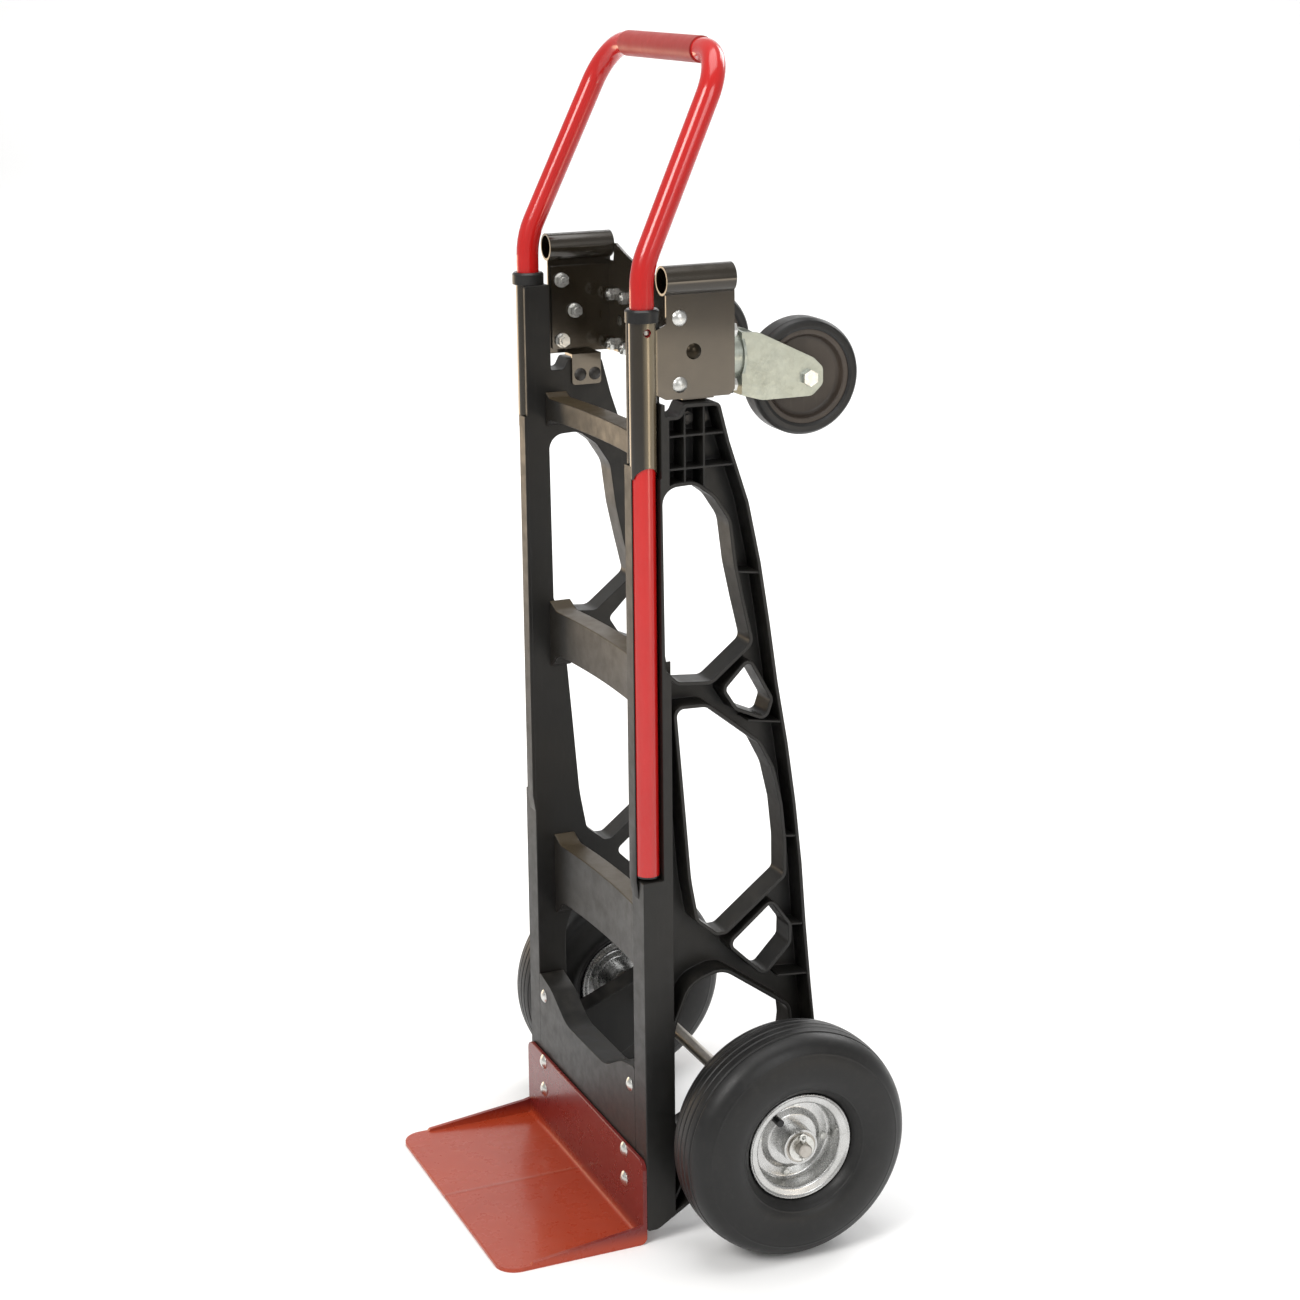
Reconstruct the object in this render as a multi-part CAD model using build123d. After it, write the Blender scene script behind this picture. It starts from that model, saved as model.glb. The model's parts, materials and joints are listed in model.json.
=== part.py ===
from build123d import *
import math
import os

# Convertible hand truck: an upright two-wheel truck that lays back onto two
# swivel casters to become a platform truck.  Millimetres, +Z up.
# X is across the truck, -Y is the front (toe plate side), +Y the rear.
# Everything is drawn about the main axle line (Y = 0 there) and then carried
# to the part's own origin, which is at the floor, under the middle of its box.

# ---------------------------------------------------------------- driving sizes
Y_AXLE = 92.5            # main axle, measured from the part's origin
OVERALL_H = 1320.6       # floor to the top of the grip bar
WHEEL_R = 132.0          # 10 in pneumatic tyre, inflated
WHEEL_X = 243.0          # middle plane of a main wheel
TYRE_HALF_W = 43.0
AXLE_R = 7.95            # 5/8 in axle rod
AXLE_END = 284.0

FRAME_IN = 146.0         # inner face of a side frame
FRAME_OUT = 178.0        # outer face of a side frame
WALL = 4.0               # moulded nylon wall
RAIL_FRONT = -143.4
RAIL_BACK = -110.7

LEG_X = 164.0            # handle leg axis
LEG_Y = -132.3
TUBE_R = 12.7            # 1 in handle tube
TUBE_WALL = 1.6
LEG_BOTTOM = 433.0
BEND_Z = 1090.0
GRIP_Y = -32.0
GRIP_Z = OVERALL_H - 14.3
GRIP_X = 152.0           # corner of the handle loop
LEG_CLEAR = 0.3

SLEEVE_OR = 14.3         # steel guide sleeve round each leg
SLEEVE_IR = TUBE_R + LEG_CLEAR
SLEEVE_Z0, SLEEVE_Z1 = 872.0, 1040.0
SOCKET_Z = 1077.0        # horizontal socket that takes the leg in platform mode
SOCKET_OR = 15.6
SOCKET_IR = 13.1
SOCKET_Y0, SOCKET_Y1 = -110.0, -31.0
BRKT_X0, BRKT_X1 = 166.0, 169.0

TOE_W = 178.0            # half width of the toe plate
TOE_FRONT = -317.0
TOE_T = 4.8
TOE_H = 100.0
TOE_BACK = -143.6

CASTER_R = 63.5          # 5 in caster
CASTER_HALF_W = 16.0
CASTER_X = 134.0
CASTER_AXLE_Y = 65.0
CASTER_AXLE_Z = 961.0
SWIVEL_Z = 990.0
PLATE_Y = -29.0          # rear face of the caster cross plate

os.makedirs("parts", exist_ok=True)


# ---------------------------------------------------------------- helpers
def V(p):
    return Vector(*(tuple(p) + (0,) * (3 - len(p))))


def rounded(points, radii, closed=True):
    """Wire of straight runs with a tangent arc of its own radius at each corner."""
    pts = [V(p) for p in points]
    n = len(pts)
    if not hasattr(radii, "__len__"):
        radii = [radii] * n
    ent, ext_, mid = [], [], []
    for i in range(n):
        p = pts[i]
        r = radii[i]
        if (not closed and i in (0, n - 1)) or r <= 0:
            ent.append(p)
            ext_.append(p)
            mid.append(None)
            continue
        a = (pts[i - 1] - p)
        b = (pts[(i + 1) % n] - p)
        la, lb = a.length, b.length
        a, b = a.normalized(), b.normalized()
        ang = math.acos(max(-1, min(1, a.dot(b))))
        d = r / math.tan(ang / 2)
        lim = 0.49 * min(la, lb)
        if d > lim:
            d = lim
            r = d * math.tan(ang / 2)
        ent.append(p + a * d)
        ext_.append(p + b * d)
        bis = (a + b).normalized()
        mid.append(p + bis * (r / math.sin(ang / 2) - r))
    edges = []
    for i in range(n):
        if mid[i] is not None:
            edges.append(ThreePointArc(ent[i], mid[i], ext_[i]))
        j = (i + 1) % n
        if i == n - 1 and not closed:
            break
        if (ent[j] - ext_[i]).length > 1e-6:
            edges.append(Line(ext_[i], ent[j]))
    return Wire([e for g in edges for e in g.edges()])


def poly_face(points, radii=0):
    f = Face(rounded(points, radii))
    return -f if f.normal_at().Z < 0 else f


def prism_x(points, x0, x1, radii=0):
    """Profile in (Y, Z) pushed from x0 to x1."""
    return extrude(Plane.YZ.offset(x0) * poly_face(points, radii), amount=x1 - x0)


def prism_y(points, y0, y1, radii=0):
    """Profile in (X, Z) pushed from y0 to y1."""
    f = Plane.XZ.offset(-y0) * poly_face(points, radii)
    return extrude(f, amount=-(y1 - y0))


def prism_z(points, z0, z1, radii=0):
    return extrude(Plane.XY.offset(z0) * poly_face(points, radii), amount=z1 - z0)


def block(x0, x1, y0, y1, z0, z1):
    return Pos((x0 + x1) / 2, (y0 + y1) / 2, (z0 + z1) / 2) * Box(abs(x1 - x0), abs(y1 - y0), abs(z1 - z0))


def rod_x(r, x0, x1, y=0.0, z=0.0):
    return Pos((x0 + x1) / 2, y, z) * (Rot(0, 90, 0) * Cylinder(r, abs(x1 - x0)))


def rod_y(r, y0, y1, x=0.0, z=0.0):
    return Pos(x, (y0 + y1) / 2, z) * (Rot(90, 0, 0) * Cylinder(r, abs(y1 - y0)))


def rod_z(r, z0, z1, x=0.0, y=0.0):
    return Pos(x, y, (z0 + z1) / 2) * Cylinder(r, abs(z1 - z0))


def hex_x(af, x0, x1, y=0.0, z=0.0):
    h = extrude(RegularPolygon(af / 2, 6, major_radius=False), amount=abs(x1 - x0))
    return Pos(min(x0, x1), y, z) * (Rot(0, 90, 0) * h)


def hex_y(af, y0, y1, x=0.0, z=0.0):
    h = extrude(RegularPolygon(af / 2, 6, major_radius=False), amount=abs(y1 - y0))
    return Pos(x, max(y0, y1), z) * (Rot(90, 0, 0) * h)


def revolve_x(face2d):
    """Face drawn as (x, radius) spun about the X axis."""
    return revolve(Plane.XZ * face2d, axis=Axis.X, revolution_arc=360)


def dome(r, h):
    """Low domed head, flat side at the origin, bulging to +X."""
    rs = (r * r + h * h) / (2 * h)
    t = 0.5 * math.asin(r / rs)
    mid = (h - rs + rs * math.cos(t), rs * math.sin(t))
    w = Wire([Line((0, 0), (0, r)).edge(), ThreePointArc((0, r), mid, (h, 0)).edge(), Line((h, 0), (0, 0)).edge()])
    return revolve_x(Face(w))


def dome_x(r, h, x, sign, y=0.0, z=0.0):
    return Pos(x, y, z) * (Rot(0, 0, 0 if sign > 0 else 180) * dome(r, h))


def dome_y(r, h, yy, sign, x=0.0, z=0.0):
    return Pos(x, yy, z) * (Rot(0, 0, 90 * sign) * dome(r, h))


def flip(shape):
    return mirror(shape, about=Plane.YZ)


def solids_of(s):
    out = []
    for q in (s if isinstance(s, (list, tuple)) else [s]):
        out += list(q.solids())
    return out


def save(name, *shapes):
    sol = []
    for s in shapes:
        sol += solids_of(s)
    sol = [Pos(0, Y_AXLE, 0) * q for q in sol]
    obj = sol[0] if len(sol) == 1 else Compound(children=sol)
    export_step(obj, f"parts/{name}.step")
    print(name, len(sol), round(sum(q.volume for q in sol), 1))


# ---------------------------------------------------------------- side frames
REAR = [(-50.4, 948.4), (-39, 904.7), (-16.9, 837.7), (-2.8, 770.5), (8, 702.6), (17.7, 634), (29.9, 563.9),
        (39.9, 493.2), (47.6, 421.8), (52.9, 349.9), (59.5, 276.8), (66, 215)]
OUTLINE = [(RAIL_FRONT, 15), (RAIL_FRONT, 1036), (-113.0, 1036), (-113.0, 937), (-97, 937), (-91, 949)] + REAR + \
          [(58, 150), (30, 104), (0, 94), (-42, 70), (-95, 36), (-130, 15)]
OUT_R = [4, 3, 2, 2, 6, 4, 8] + [60] * (len(REAR) - 2) + [40] + [40, 30, 30, 60, 60, 12]
HOLE1 = [(-116.7, 861), (-80, 862.5), (-58, 846), (-41, 820), (-34.5, 769), (-26, 729.7), (-15, 683), (-62, 645.5), (-100, 649), (-115, 664)]
HOLE1_R = [18, 20, 20, 30, 100, 200, 10, 14, 12, 8]
HOLE2 = [(-102.6, 618.5), (-67.3, 617.2), (-6, 568), (9.9, 537), (19.7, 495), (24.5, 450), (24.8, 412), (-46, 357), (-56, 357), (-78, 376),
         (-86.5, 423), (-94, 516)]
HOLE2_R = [8, 16, 12, 40, 60, 60, 8, 8, 8, 12, 200, 300]
TRI_MID = [(-17, 662), (-45, 634), (-31, 612), (2, 597), (8.5, 616)]
TRI_MID_R = [5, 6, 8, 6, 7]
TRI_LOW = [(10, 381), (-40, 340.5), (1, 300), (31, 331), (31.5, 351)]
TRI_LOW_R = [5, 7, 7, 8, 8]
HOLE3 = [(-108, 128), (-108, 250), (-88, 300), (-50, 312), (30, 254), (32, 236), (26, 186), (-26, 162)]
HOLE3_R = [10, 60, 30, 26, 12, 20, 16, 20]
BOSS_R = 25.0


def side_frame():
    outer = poly_face(OUTLINE, OUT_R)
    holes = [poly_face(HOLE1, HOLE1_R), poly_face(HOLE2, HOLE2_R), poly_face(TRI_MID, TRI_MID_R),
             poly_face(TRI_LOW, TRI_LOW_R), poly_face(HOLE3, HOLE3_R)]
    sec = outer
    for h in holes:
        sec = sec - h
    body = extrude(Plane.YZ.offset(FRAME_IN) * sec, amount=FRAME_OUT - FRAME_IN)
    # weight-saving pocket, open to the outside, between the outer wall and the walls round each opening
    pocket = offset(outer, -WALL)
    for h in holes:
        pocket = pocket - offset(h, WALL)
    pk = extrude(Plane.YZ.offset(FRAME_IN + WALL) * pocket, amount=FRAME_OUT - FRAME_IN)
    # the front rail stays full; pocket starts behind it
    pk = pk - block(FRAME_IN, FRAME_OUT + 5, RAIL_FRONT - 5, RAIL_BACK + 2.5, 0, 1100)
    pk = pk - rod_x(BOSS_R, FRAME_IN, FRAME_OUT + 5, 0, WHEEL_R)
    # stiffening ribs across the pocket
    ribs = []
    for z in (880, 915):
        ribs.append(block(FRAME_IN, FRAME_OUT - 2, -115, -20, z - 1.25, z + 1.25))
    for y in (-90, -68):
        ribs.append(block(FRAME_IN, FRAME_OUT - 2, y - 1.25, y + 1.25, 855, 950))
    for (y, z, a) in ((-14, 760, -8), (12, 590, -10), (34, 455, -8), (44, 350, -6), (48, 290, -5)):
        ribs.append(Pos((FRAME_IN + FRAME_OUT - 2) / 2, y, z) * (Rot(a, 0, 0) * Box(FRAME_OUT - 2 - FRAME_IN, 60, 2.5)))
    for a in (20, 80, 150, 215, 320):
        ribs.append(Pos((FRAME_IN + FRAME_OUT - 2) / 2, 0, WHEEL_R) *
                    (Rot(a, 0, 0) * (Pos(0, 40, 0) * Box(FRAME_OUT - 2 - FRAME_IN, 60, 2.5))))
    ribs.append(Pos((FRAME_IN + FRAME_OUT - 2) / 2, -90, 82) * (Rot(62, 0, 0) * Box(FRAME_OUT - 2 - FRAME_IN, 120, 2.5)))
    for r in ribs:
        pk = pk - r
    body = body - pk
    # notch for the handle leg, open to the front and to the outside, and the sleeve's seat above it
    cw = TUBE_R + 0.3
    floor_x = LEG_X - TUBE_R - 0.9
    body = body - block(floor_x, FRAME_OUT + 5, -160, LEG_Y + cw, LEG_BOTTOM - 6, SLEEVE_Z0)
    sr = SLEEVE_OR + 0.1
    body = body - block(LEG_X, FRAME_OUT + 5, -160, LEG_Y + sr, SLEEVE_Z0 - 0.5, 1100)
    body = body - block(152, FRAME_OUT + 5, -160, -139, SLEEVE_Z0 - 0.5, 1100)
    body = body - rod_z(sr, SLEEVE_Z0 - 0.5, 1100, LEG_X, LEG_Y)
    body = body - block(LEG_X, FRAME_OUT + 5, LEG_Y, -100, 950, 1100)
    # axle boss and bore
    body = body + rod_x(BOSS_R, FRAME_IN, 184, 0, WHEEL_R)
    body = body - rod_x(AXLE_R + 0.1, FRAME_IN - 5, 190, 0, WHEEL_R)
    # screw holes for the crossmembers, the base and the caster cross plate tabs
    for (y, z) in SCREWS:
        body = body - rod_x(3.05, FRAME_IN - 5, FRAME_IN + WALL + 3, y, z)
    for (y, z) in TAB_BOLTS:
        body = body - rod_x(4.05, FRAME_IN - 5, FRAME_OUT + 5, y, z)
    return body


XM_UP = (881.0, 906.0)
XM_MID = (601.0, 654.0)
XM_LOW = (292.0, 364.0)
SCREWS = [(-102, 893.5), (-108.5, 627.5), (-108.5, 643), (-101, 318), (-101, 342), (-126, 60), (-126, 150)]
TAB_BOLTS = [(-78, 930), (-60, 930)]

right_frame = side_frame()
save("right_side_frame", right_frame)
save("left_side_frame", flip(right_frame))


# ---------------------------------------------------------------- crossmembers
def bow_pts(y_end, y_mid, n=24, half=FRAME_IN):
    out = []
    for i in range(n + 1):
        x = -half + 2 * half * i / n
        t = x / half
        out.append((x, y_end + (y_mid - y_end) * (1 - t * t)))
    return out


def crossmember(z0, z1, y_end=-121.0, y_mid=-112.0, depth=26.0, gusset=22.0, gusset_top=10.0, wall=4.0):
    """Channel open to the rear, bowed back at the middle, with filleted gussets at its ends."""
    half = FRAME_IN
    zt, zb = z1 + gusset_top, z0 - gusset
    # front view with concave corners under and over the beam
    front = [(-half, zb), (-half + gusset * 0.9, z0), (half - gusset * 0.9, z0), (half, zb),
             (half, zt), (half - gusset_top * 1.6, z1), (-half + gusset_top * 1.6, z1), (-half, zt)]
    fr = [0, gusset, gusset, 0, 0, gusset_top * 2, gusset_top * 2, 0]
    mass = prism_y(front, -160, -60, fr)
    inner = prism_y([(p[0] * (half - wall) / half, p[1]) for p in
                     [(-half, zb + wall), (-half + gusset * 0.9, z0 + wall), (half - gusset * 0.9, z0 + wall),
                      (half, zb + wall), (half, zt - wall), (half - gusset_top * 1.6, z1 - wall),
                      (-half + gusset_top * 1.6, z1 - wall), (-half, zt - wall)]], -160, -60, fr)
    f = bow_pts(y_end, y_mid)
    plan_out = Face(Wire([Spline(*[(x, y) for x, y in f]).edge(),
                          Line(f[-1], (half, y_end + depth)).edge(),
                          Spline(*[(x, y + depth) for x, y in reversed(f)]).edge(),
                          Line((-half, y_end + depth), f[0]).edge()]))
    plan_in = Face(Wire([Spline(*[(x, y + wall) for x, y in f]).edge(),
                         Line((f[-1][0], f[-1][1] + wall), (half, y_end + depth + 20)).edge(),
                         Line((half, y_end + depth + 20), (-half, y_end + depth + 20)).edge(),
                         Line((-half, y_end + depth + 20), (f[0][0], f[0][1] + wall)).edge()]))
    outer = extrude(Plane.XY.offset(zb - 5) * plan_out, amount=zt - zb + 10) & mass
    hollow = extrude(Plane.XY.offset(zb - 5) * plan_in, amount=zt - zb + 10) & inner
    b = outer - hollow
    # upright ribs inside the channel
    for x in (-88, -44, 0, 44, 88):
        rib = block(x - 1.25, x + 1.25, -140, y_end + depth + 1, z0 + 1, z1 - 1)
        b = b + (rib & outer)
    return b


def drill(b, holes):
    for (y, z) in holes:
        for s in (1, -1):
            b = b - rod_x(3.05, s * (FRAME_IN - 9), s * (FRAME_IN + 2), y, z)
    return b


upper = drill(crossmember(*XM_UP, gusset=9, gusset_top=6), SCREWS[0:1])
middle = drill(crossmember(*XM_MID, gusset=18), SCREWS[1:3])
lower = drill(crossmember(*XM_LOW, gusset=20), SCREWS[3:5])
save("upper_crossmember", upper)
save("middle_crossmember", middle)
save("lower_crossmember", lower)

# base crossmember that the toe plate bolts to
BZ0, BZ1 = 16.0, 200.0
BY0, BY1 = -143.4, -114.0
TOE_BOLTS = [(125, 92), (125, 56), (-125, 92), (-125, 56)]
BASE_BOLTS = [(132, 174), (-132, 174)]
arch = [(-FRAME_IN, BZ0), (FRAME_IN, BZ0), (FRAME_IN, BZ1), (108, BZ1 - 8), (60, BZ1 - 34), (-60, BZ1 - 34), (-108, BZ1 - 8),
        (-FRAME_IN, BZ1)]
ar = [2, 2, 4, 60, 60, 60, 60, 4]
base = prism_y(arch, BY0, BY1, ar)
inset = [(-FRAME_IN + 4, BZ0 + 4), (FRAME_IN - 4, BZ0 + 4), (FRAME_IN - 4, BZ1 - 5), (108, BZ1 - 12), (60, BZ1 - 38),
         (-60, BZ1 - 38), (-108, BZ1 - 12), (-FRAME_IN + 4, BZ1 - 5)]
base = base - prism_y(inset, BY0 + 5, BY1 + 5, [4, 4, 2, 56, 56, 56, 56, 2])
for x in (-100, -50, 0, 50, 100):
    base = base + (block(x - 1.5, x + 1.5, BY0 + 2, BY1, BZ0 + 1, BZ1 - 2) & prism_y(arch, BY0, BY1, ar))
base = base + block(-FRAME_IN + 2, FRAME_IN - 2, BY0 + 2, BY1, 112, 115)
for (x, z) in TOE_BOLTS + BASE_BOLTS:
    base = base - rod_y(4.05, BY0 - 5, BY1 + 5, x, z)
base = drill(base, SCREWS[5:7])
save("base_crossmember", base)

# pan-head screws that tie the crossmembers and base to both side frames
sc = []
for (y, z) in SCREWS:
    s1 = rod_x(3.0, FRAME_IN - WALL, FRAME_IN + WALL + 0.6, y, z) + dome_x(5.5, 3.2, FRAME_IN - WALL, -1, y, z)
    sc += [s1, flip(s1)]
save("crossmember_screws", *sc)

# ---------------------------------------------------------------- toe plate
ell = [(TOE_FRONT, 0), (TOE_BACK, 0), (TOE_BACK, TOE_H), (TOE_BACK - TOE_T, TOE_H), (TOE_BACK - TOE_T, TOE_T), (TOE_FRONT, TOE_T)]
toe = prism_x(ell, -TOE_W, TOE_W, [1.2, 8.5, 1.2, 1.2, 3.7, 1.2])
CORNER = 24.0
for s in (1, -1):
    toe = toe - (block(s * (TOE_W - CORNER), s * (TOE_W + 1), TOE_FRONT - 1, TOE_FRONT + CORNER, -1, 10)
                 - rod_z(CORNER, -2, 11, s * (TOE_W - CORNER), TOE_FRONT + CORNER))
for s in (1, -1):
    toe = toe - (block(s * (TOE_W - 12), s * (TOE_W + 1), TOE_BACK - 10, TOE_BACK + 5, TOE_H - 12, TOE_H + 1)
                 - rod_y(12, TOE_BACK - 11, TOE_BACK + 6, s * (TOE_W - 12), TOE_H - 12))
    gus = prism_x([(TOE_BACK - TOE_T + 1, 3), (TOE_BACK - TOE_T + 1, 23), (TOE_BACK - TOE_T - 8, 21), (-280, 7.5), (-284, 3)],
                  s * TOE_W - (4.8 if s > 0 else 0), s * TOE_W + (0 if s > 0 else 4.8), [0, 0, 6, 1.5, 0])
    toe = toe + gus
for (x, z) in TOE_BOLTS:
    toe = toe - rod_y(4.05, TOE_BACK - 10, TOE_BACK + 3, x, z)
save("toe_plate", toe)

tb, tn = [], []
for (x, z) in TOE_BOLTS:
    tb.append(dome_y(9.0, 4.2, TOE_BACK - TOE_T, -1, x, z) + rod_y(4.0, TOE_BACK - TOE_T, BY0 + 5 + 11, x, z))
    tn.append((hex_y(13, BY0 + 5 + 1.6, BY0 + 5 + 8.2, x, z) + rod_y(8.5, BY0 + 5, BY0 + 5 + 1.6, x, z))
              - rod_y(4.0, BY0, BY1, x, z))
for (x, z) in BASE_BOLTS:
    tb.append(dome_y(8.0, 3.6, BY0, -1, x, z) + rod_y(4.0, BY0, BY0 + 5 + 11, x, z))
    tn.append((hex_y(13, BY0 + 5 + 1.6, BY0 + 5 + 8.2, x, z) + rod_y(8.5, BY0 + 5, BY0 + 5 + 1.6, x, z))
              - rod_y(4.0, BY0, BY1, x, z))
save("toe_plate_bolts", *tb)
save("toe_plate_nuts", *tn)


# ---------------------------------------------------------------- head brackets, cross plate
BRKT_BOLTS = [(-92, 1038), (-92, 968), (-76, 1002)]


def head_bracket():
    plate = prism_x([(-120.6, 960), (-120.6, 1026), (-107, 1032), (-107, SOCKET_Z - 13.6), (PLATE_Y, SOCKET_Z - 13.6), (PLATE_Y, 959),
                     (PLATE_Y - 6, 953), (-108, 953)], BRKT_X0, BRKT_X1, [2, 2, 2, 0, 0, 2, 2, 3])
    sleeve = rod_z(SLEEVE_OR, SLEEVE_Z0, SLEEVE_Z1, LEG_X, LEG_Y)
    socket = rod_y(SOCKET_OR, SOCKET_Y0, SOCKET_Y1, LEG_X, SOCKET_Z)
    b = plate + sleeve + socket
    # a stiffening bead pressed outward along the plate
    b = b - rod_z(SLEEVE_IR, SLEEVE_Z0 - 5, SLEEVE_Z1 + 5, LEG_X, LEG_Y)
    b = b - rod_y(SOCKET_IR, SOCKET_Y0 - 5, SOCKET_Y1 + 5, LEG_X, SOCKET_Z)
    b = b - rod_x(13.4, LEG_X - 20, LEG_X + 20, LEG_Y, SLEEVE_Z0 - 1)
    b = b - rod_x(4.4, LEG_X + 5, LEG_X + 25, LEG_Y, BUTTON_Z)
    for (y, z) in BRKT_BOLTS:
        b = b - rod_x(4.05, 160, 175, y, z)
    return b


BUTTON_Z = 1026.0
right_bracket = head_bracket()
save("right_head_bracket", right_bracket)
save("left_head_bracket", flip(right_bracket))

# cross plate that carries both casters: web at the rear, flanges folded forward inside the brackets
FL = 3.0
FX1 = BRKT_X0 - 0.1
web = prism_y([(-FX1, 953), (FX1, 953), (FX1, 1058), (150, 1058), (147, 1080), (105, 1066), (50, 1055), (-50, 1055), (-105, 1066),
               (-147, 1080), (-150, 1058), (-FX1, 1058)], PLATE_Y - FL, PLATE_Y,
              [3, 3, 4, 1.5, 3, 120, 160, 160, 120, 3, 1.5, 4])
flange = prism_x([(-104, 958), (-104, 1054), (PLATE_Y - 1, 1054), (PLATE_Y - 1, 958)], FX1 - FL, FX1, [3, 3, 0, 0])
tab = prism_x([(-88, 918), (-88, 965), (-50, 965), (-50, 918)], FX1 - FL, FX1, [4, 0, 0, 4])
# the tab is joggled inward so that it lies on the inner face of the side frame
tab_low = prism_x([(-88, 918), (-88, 950.5), (-52, 950.5), (-52, 918)], FRAME_IN - FL, FRAME_IN, [4, 0, 0, 4])
jog = prism_y([(FX1, 951), (FX1, 965), (FX1 - FL, 965), (FX1 - FL, 954), (FRAME_IN - FL, 954), (FRAME_IN - FL, 949.5), (FRAME_IN, 949.5),
               (FRAME_IN, 951)], -88, -52, 0)
cross = web
for piece in (flange, tab_low, jog):
    cross = cross + piece + flip(piece)
CASTER_BOLTS = [(dx, dz) for dx in (-19, 19) for dz in (-29, 29)]
for s in (1, -1):
    for (y, z) in BRKT_BOLTS:
        cross = cross - rod_x(4.05, s * 158, s * 175, y, z)
    for (y, z) in TAB_BOLTS:
        cross = cross - rod_x(4.05, s * 138, s * 150, y, z)
    for (dx, dz) in CASTER_BOLTS:
        cross = cross - rod_y(4.05, PLATE_Y - 8, PLATE_Y + 5, s * CASTER_X + dx, SWIVEL_Z + dz)
    cross = cross - rod_y(6.5, PLATE_Y - 8, PLATE_Y + 5, s * CASTER_X, SWIVEL_Z)
save("caster_cross_plate", cross)

bb, bn, mh = [], [], []
for (y, z) in BRKT_BOLTS:
    a = dome_x(8.5, 4.0, BRKT_X1, 1, y, z) + rod_x(4.0, FX1 - FL - 10, BRKT_X1, y, z)
    n = (hex_x(13, FX1 - FL - 8.2, FX1 - FL - 1.6, y, z) + rod_x(8.5, FX1 - FL - 1.6, FX1 - FL, y, z)) - rod_x(4.0, 140, 170, y, z)
    bb += [a, flip(a)]
    bn += [n, flip(n)]
for (y, z) in TAB_BOLTS:
    a = dome_x(7.5, 3.2, FRAME_IN - FL, -1, y, z) + rod_x(4.0, FRAME_IN - FL, FRAME_IN + WALL + 9, y, z)
    n = hex_x(13, FRAME_IN + WALL, FRAME_IN + WALL + 6.5, y, z) - rod_x(4.0, 140, 170, y, z)
    mh += [a, flip(a), n, flip(n)]
save("bracket_bolts", *bb)
save("bracket_nuts", *bn)
save("frame_mount_hardware", *mh)

# nylon guide collars at the top of the sleeves
col = rod_z(18.0, SLEEVE_Z1 - 3.6, SLEEVE_Z1 + 10, LEG_X, LEG_Y)
col = chamfer(col.edges().filter_by(GeomType.CIRCLE).sort_by(Axis.Z)[-1], 2.0)
col = col - rod_z(TUBE_R + LEG_CLEAR, SLEEVE_Z1 - 10, SLEEVE_Z1 + 15, LEG_X, LEG_Y) - rod_z(SLEEVE_OR, SLEEVE_Z1 - 10, SLEEVE_Z1, LEG_X, LEG_Y)
save("handle_guide_collars", col, flip(col))

# ---------------------------------------------------------------- handle
path_pts = [(LEG_X, LEG_Y, LEG_BOTTOM), (LEG_X, LEG_Y, BEND_Z), (GRIP_X, GRIP_Y, GRIP_Z), (-GRIP_X, GRIP_Y, GRIP_Z),
            (-LEG_X, LEG_Y, BEND_Z), (-LEG_X, LEG_Y, LEG_BOTTOM)]
path = rounded(path_pts, [0, 90, 52, 52, 90, 0], closed=False)
start = Plane(origin=(LEG_X, LEG_Y, LEG_BOTTOM), z_dir=(0, 0, 1))
tube = sweep(start * Circle(TUBE_R), path=path) - sweep(start * Circle(TUBE_R - TUBE_WALL), path=path)
for s in (1, -1):
    tube = tube - rod_x(4.1, s * (LEG_X + 6), s * (LEG_X + 16), LEG_Y, BUTTON_Z)
save("handle_loop", tube)

GRIP_HALF = 96.0
grip = rod_x(TUBE_R + 1.6, -GRIP_HALF, GRIP_HALF, GRIP_Y, GRIP_Z) - rod_x(TUBE_R, -GRIP_HALF - 5, GRIP_HALF + 5, GRIP_Y, GRIP_Z)
save("handle_grip", grip)

plug = rod_z(TUBE_R, LEG_BOTTOM - 2, LEG_BOTTOM, LEG_X, LEG_Y) + rod_z(TUBE_R - TUBE_WALL, LEG_BOTTOM, LEG_BOTTOM + 16, LEG_X, LEG_Y) \
    - rod_z(8.5, LEG_BOTTOM + 2, LEG_BOTTOM + 20, LEG_X, LEG_Y)
save("handle_end_plugs", plug, flip(plug))

# snap buttons: a domed pin in each leg and the leaf spring behind it
btn = rod_x(4.0, LEG_X + 3.5, LEG_X + 10.5, LEG_Y, BUTTON_Z) + dome_x(4.0, 1.9, LEG_X + 10.5, 1, LEG_Y, BUTTON_Z) \
    + rod_x(5.5, LEG_X + 3.5, LEG_X + 5.0, LEG_Y, BUTTON_Z)
save("right_snap_button", btn)
save("left_snap_button", flip(btn))
LF = 3.2
leaf = prism_y([(LEG_X - 10.2, BUTTON_Z + 12), (LEG_X - 10.2, BUTTON_Z - 60), (LEG_X - 7.0, BUTTON_Z - 70), (LEG_X - 3.5, BUTTON_Z - 60),
                (LEG_X + 3.3, BUTTON_Z + 7), (LEG_X + 2.5, BUTTON_Z + 7), (LEG_X - 4.3, BUTTON_Z - 59), (LEG_X - 7.0, BUTTON_Z - 67),
                (LEG_X - 9.4, BUTTON_Z - 59), (LEG_X - 9.4, BUTTON_Z + 12)], LEG_Y - LF, LEG_Y + LF, 0)
save("snap_springs", leaf, flip(leaf))

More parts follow.
